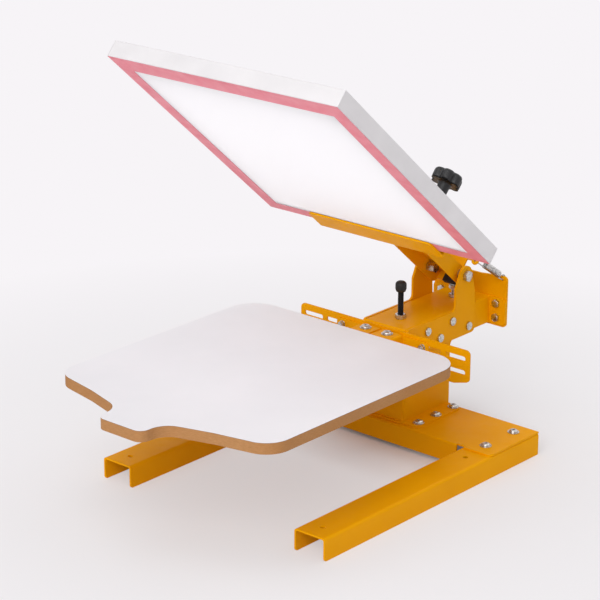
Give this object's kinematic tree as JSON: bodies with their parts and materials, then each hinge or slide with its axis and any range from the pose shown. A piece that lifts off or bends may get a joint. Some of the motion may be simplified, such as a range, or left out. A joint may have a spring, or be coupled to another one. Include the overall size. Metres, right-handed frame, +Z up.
{
  "type": "tabletop screen printing press",
  "caption": "Hinged screen clamp on a folded post over a flat rounded platen with a neck, on a low base of legs and a cross plate, with lift springs and stops.",
  "frame": {"origin": "middle of the footprint, on the surface that the legs stand on", "axes": "+Z up, +Y to the rear where the hinge is, -Y to the front where the printer stands, +X to the machine's right seen from its front"},
  "size_m": [0.472, 0.873, 0.7228],
  "materials": {
    "paint": "satin powder coat",
    "zinc": "bright zinc plate",
    "spring_steel": "zinc plated wire",
    "black_steel": "black oxide",
    "aluminium": "brushed mill finish",
    "mesh": "woven monofilament",
    "glue": "semi-matte adhesive film",
    "board": "sealed fibreboard edge",
    "laminate": "satin laminate",
    "rubber": "moulded",
    "knob_plastic": "moulded, fine grain"
  },
  "bodies": {
    "base": {"leg_left": "paint", "leg_right": "paint", "cross_member": "paint", "leg_bolts": "zinc", "leg_nuts": "zinc", "post": "paint", "post_bolts": "zinc", "crossbar": "paint", "crossbar_bolts": "zinc", "rail_bracket": "paint", "bracket_bolts": "zinc", "rail_left": "paint", "rail_right": "paint", "rail_bolts": "zinc", "platen_board": "board", "platen_laminate": "laminate", "platen_screws": "zinc", "cheek_left": "paint", "cheek_right": "paint", "cheek_bolts": "zinc", "cheek_nuts": "zinc", "spring_plate": "paint", "plate_bolts": "zinc", "hinge_bolts": "zinc", "hinge_nuts": "zinc", "print_stop_nut": "zinc", "raise_stop_nut": "zinc", "spring_left": "spring_steel", "spring_right": "spring_steel"},
    "head": {"head_bracket": "paint", "hinge_bushes": "zinc", "clamp_bar": "paint", "clamp_bolts": "zinc", "tail_pad": "rubber", "frame_front": "aluminium", "frame_rear": "aluminium", "frame_left": "aluminium", "frame_right": "aluminium", "screen_mesh": "mesh", "glue_tape": "glue"},
    "print_stop_cap": {"print_stop_cap": "rubber"},
    "print_stop_rod": {"print_stop_rod": "black_steel"},
    "raise_stop_bolt": {"raise_stop_bolt": "zinc"},
    "foot_left": {"foot_left": "zinc"},
    "foot_right": {"foot_right": "zinc"},
    "knob_left": {"knob_left": "knob_plastic"},
    "knob_right": {"knob_right": "knob_plastic"}
  },
  "joints": [
    {"name": "head_hinge", "type": "hinge", "parent": "base", "child": "head", "pos_m": [0, 0.34725, 0.2634], "axis": [1, 0, 0], "range_deg": [0, 41.1], "stiffness_Nm_per_rad": 4.6, "springref_deg": -131.78, "deforming": ["spring_left", "spring_right"]},
    {"name": "print_stop_travel", "type": "slide", "parent": "base", "child": "print_stop_cap", "axis": [0, 0, 1], "range_m": [-0.01, 0]},
    {"name": "print_stop_turn", "type": "hinge", "parent": "print_stop_cap", "child": "print_stop_rod", "pos_m": [0, 0.2305, 0.23], "axis": [0, 0, 1], "range_deg": [-2402, 0]},
    {"name": "raise_stop_travel", "type": "slide", "parent": "base", "child": "raise_stop_bolt", "axis": [0, 0, 1], "range_m": [-0.006, 0]},
    {"name": "foot_left_travel", "type": "slide", "parent": "head", "child": "foot_left", "axis": [0, 0.6574, 0.7536], "range_m": [0, 0.012]},
    {"name": "knob_left_turn", "type": "hinge", "parent": "foot_left", "child": "knob_left", "pos_m": [-0.09, 0.20625, 0.43948], "axis": [0, 0.6574, 0.7536], "range_deg": [0, 3458]},
    {"name": "foot_right_travel", "type": "slide", "parent": "head", "child": "foot_right", "axis": [0, 0.6574, 0.7536], "range_m": [0, 0.012]},
    {"name": "knob_right_turn", "type": "hinge", "parent": "foot_right", "child": "knob_right", "pos_m": [0.09, 0.20625, 0.43948], "axis": [0, 0.6574, 0.7536], "range_deg": [0, 3458]}
  ],
  "couplings": [
    {"joint": "print_stop_turn", "follows": "print_stop_travel", "rad_per_m": 4188.8},
    {"joint": "knob_left_turn", "follows": "foot_left_travel", "rad_per_m": 5026.5},
    {"joint": "knob_right_turn", "follows": "foot_right_travel", "rad_per_m": 5026.5}
  ]
}
